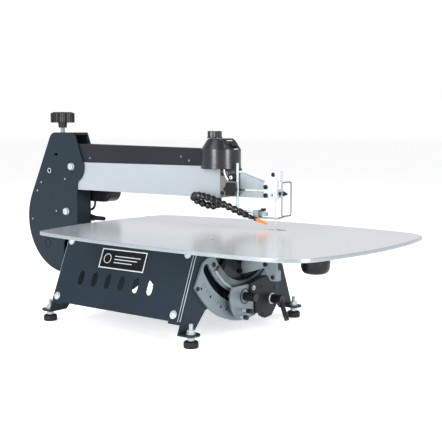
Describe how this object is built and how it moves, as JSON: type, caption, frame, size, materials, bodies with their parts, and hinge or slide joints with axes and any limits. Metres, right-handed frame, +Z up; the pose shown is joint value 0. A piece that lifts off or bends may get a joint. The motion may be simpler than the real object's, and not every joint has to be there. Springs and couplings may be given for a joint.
{
  "type": "scroll saw",
  "caption": "Tilting-head scroll saw: fixed table on a folded steel base and a C-shaped head whose two arms carry the blade, with hold-down and air blower.",
  "frame": {"origin": "middle of the machine's footprint at floor level", "axes": "+X towards the operator along the arms, +Y to the operator's right, +Z up"},
  "size_m": [0.9837, 0.5082, 0.437],
  "materials": {
    "coat": "blue-grey powder coat, satin",
    "table": "machined, satin",
    "arm": "silver lacquer, satin",
    "channel": "dark grey, satin",
    "black": "satin black",
    "zinc": "zinc plated",
    "trunnion": "cast, lightly machined",
    "casting": "black paint, rough",
    "bearing": "cast, warm grey",
    "hose": "matt black",
    "nozzle": "orange, satin",
    "badge": "gloss black plate",
    "rubber": "matt",
    "blade": "tempered steel"
  },
  "bodies": {
    "base": {"table": "table", "front_bracket": "coat", "rear_bracket": "coat", "left_side_panel": "coat", "right_side_panel": "coat", "badge_plate": "badge", "levelling_foot_front_left": "rubber", "levelling_foot_front_right": "rubber", "levelling_foot_rear_left": "rubber", "levelling_foot_rear_right": "rubber", "scale_plate": "trunnion", "tilt_gear": "trunnion", "slot_shield": "channel", "blower_housing": "black"},
    "head": {"left_frame_plate": "coat", "right_frame_plate": "coat", "frame_back_strip": "coat", "frame_cap": "coat", "frame_web": "coat", "upper_arm_pivot_bolt": "zinc", "frame_bolt": "zinc", "lower_arm": "arm", "lower_head_casting": "black", "rear_head_casting": "black", "guide_bolt": "zinc", "pinion_cover": "trunnion", "tilt_casting": "casting", "drive_motor": "black", "rear_rocker_pin": "zinc", "control_box": "black", "cable_gland": "rubber"},
    "tilt_knob": {"tilt_knob": "black"},
    "tilt_lock": {"tilt_lock_lever": "black"},
    "motor_rotor": {"motor_crank": "zinc"},
    "lower_drive": {"lower_drive_rod": "zinc"},
    "rear_rocker": {"rear_rocker": "zinc"},
    "lower_rocker": {"lower_rocker": "zinc"},
    "lower_link": {"lower_link": "zinc"},
    "blade_carriage": {"lower_blade_holder": "zinc", "blade": "blade"},
    "lower_clamp": {"lower_clamp_screw": "black"},
    "upper_arm": {"upper_arm": "arm", "arm_cover": "channel", "switch_housing": "black", "upper_bearing_block": "bearing", "hose_fitting": "black", "air_hose": "hose"},
    "upper_drive": {"upper_drive_rod": "zinc"},
    "upper_rocker": {"upper_rocker": "zinc"},
    "upper_link": {"upper_link": "zinc"},
    "upper_carriage": {"upper_blade_holder": "zinc"},
    "upper_clamp": {"upper_clamp_screw": "black"},
    "speed_knob": {"speed_knob": "black"},
    "power_switch": {"power_switch": "black"},
    "tension_knob": {"tension_knob": "black"},
    "holddown": {"holddown_rod": "zinc", "presser_foot": "zinc", "blade_guard": "zinc"},
    "holddown_knob": {"holddown_knob": "black"},
    "air_nozzle": {"air_nozzle": "nozzle"}
  },
  "joints": [
    {"name": "head_tilt", "type": "hinge", "parent": "base", "child": "head", "pos_m": [0.206, 0.0768, 0.2045], "axis": [1, 0, 0], "range_deg": [-45, 45]},
    {"name": "tilt_knob_turn", "type": "hinge", "parent": "head", "child": "tilt_knob", "pos_m": [0.146, 0.0548, 0.07206], "axis": [1, 0, 0], "range_deg": [-500, 500]},
    {"name": "tilt_lock_turn", "type": "hinge", "parent": "head", "child": "tilt_lock", "pos_m": [0.166, 0.1398, 0.0555], "axis": [1, 0, 0], "range_deg": [-60, 60]},
    {"name": "motor_spin", "type": "hinge", "parent": "head", "child": "motor_rotor", "pos_m": [-0.04, 0.1068, 0.1], "axis": [0, 1, 0], "continuous": true},
    {"name": "blade_stroke", "type": "slide", "parent": "head", "child": "blade_carriage", "axis": [0, 0, 1], "range_m": [-0.0095, 0.0095]},
    {"name": "lower_drive_slide", "type": "slide", "parent": "head", "child": "lower_drive", "axis": [1, 0, 0], "range_m": [-0.0025, 0.0025]},
    {"name": "lower_rocker_swing", "type": "hinge", "parent": "head", "child": "lower_rocker", "pos_m": [0.114, 0.0768, 0.137], "axis": [0, -1, 0], "range_deg": [-7.5, 7.5]},
    {"name": "lower_link_swing", "type": "hinge", "parent": "head", "child": "lower_link", "pos_m": [0.114, 0.0768, 0.1535], "axis": [0, -1, 0], "range_deg": [-7.5, 7.5]},
    {"name": "rear_rocker_swing", "type": "hinge", "parent": "head", "child": "rear_rocker", "pos_m": [-0.425, 0.0768, 0.2355], "axis": [0, -1, 0], "range_deg": [-2, 2]},
    {"name": "upper_arm_lift", "type": "hinge", "parent": "head", "child": "upper_arm", "pos_m": [-0.339, 0.0768, 0.313], "axis": [0, -1, 0], "range_deg": [0, 8]},
    {"name": "upper_drive_slide", "type": "slide", "parent": "upper_arm", "child": "upper_drive", "axis": [1, 0, 0], "range_m": [-0.0025, 0.0025]},
    {"name": "upper_rocker_swing", "type": "hinge", "parent": "upper_arm", "child": "upper_rocker", "pos_m": [0.114, 0.0768, 0.286], "axis": [0, -1, 0], "range_deg": [-7.5, 7.5]},
    {"name": "upper_link_swing", "type": "hinge", "parent": "upper_arm", "child": "upper_link", "pos_m": [0.114, 0.0768, 0.27], "axis": [0, -1, 0], "range_deg": [-7.5, 7.5]},
    {"name": "upper_blade_stroke", "type": "slide", "parent": "upper_arm", "child": "upper_carriage", "axis": [0, 0, 1], "range_m": [-0.0096, 0.0096]},
    {"name": "upper_clamp_turn", "type": "hinge", "parent": "upper_carriage", "child": "upper_clamp", "pos_m": [0.216, 0.0748, 0.274], "axis": [1, 0, 0], "range_deg": [-90, 90]},
    {"name": "lower_clamp_turn", "type": "hinge", "parent": "blade_carriage", "child": "lower_clamp", "pos_m": [0.216, 0.0748, 0.149], "axis": [1, 0, 0], "range_deg": [-90, 90]},
    {"name": "speed_knob_turn", "type": "hinge", "parent": "upper_arm", "child": "speed_knob", "pos_m": [0.057, 0.0768, 0.385], "axis": [0, 0, 1], "range_deg": [-140, 140]},
    {"name": "power_switch_rock", "type": "hinge", "parent": "upper_arm", "child": "power_switch", "pos_m": [0.10439, 0.0768, 0.36615], "axis": [0, 1, 0], "range_deg": [-5, 5]},
    {"name": "tension_knob_turn", "type": "hinge", "parent": "head", "child": "tension_knob", "pos_m": [-0.391, 0.0768, 0.42], "axis": [0, 0, 1], "range_deg": [-180, 180]},
    {"name": "holddown_slide", "type": "slide", "parent": "upper_arm", "child": "holddown", "axis": [0, 0, 1], "range_m": [-0.009, 0.012]},
    {"name": "holddown_knob_turn", "type": "hinge", "parent": "upper_arm", "child": "holddown_knob", "pos_m": [0.116, 0.0488, 0.2795], "axis": [0, 1, 0], "range_deg": [-180, 180]},
    {"name": "air_nozzle_aim", "type": "hinge", "parent": "upper_arm", "child": "air_nozzle", "pos_m": [0.163, 0.0633, 0.2253], "axis": [0, 0, 1], "range_deg": [-12, 6]}
  ],
  "couplings": [
    {"joint": "tilt_knob_turn", "follows": "head_tilt", "ratio": 10.933},
    {"joint": "upper_blade_stroke", "follows": "blade_stroke", "ratio": 1},
    {"joint": "lower_rocker_swing", "follows": "blade_stroke", "rad_per_m": 13.158},
    {"joint": "lower_link_swing", "follows": "blade_stroke", "rad_per_m": 13.158},
    {"joint": "upper_rocker_swing", "follows": "blade_stroke", "rad_per_m": 13.158},
    {"joint": "upper_link_swing", "follows": "blade_stroke", "rad_per_m": 13.158},
    {"joint": "lower_drive_slide", "follows": "blade_stroke", "ratio": 0.25},
    {"joint": "upper_drive_slide", "follows": "blade_stroke", "ratio": -0.22368},
    {"joint": "rear_rocker_swing", "follows": "blade_stroke", "rad_per_m": 3.3113}
  ]
}
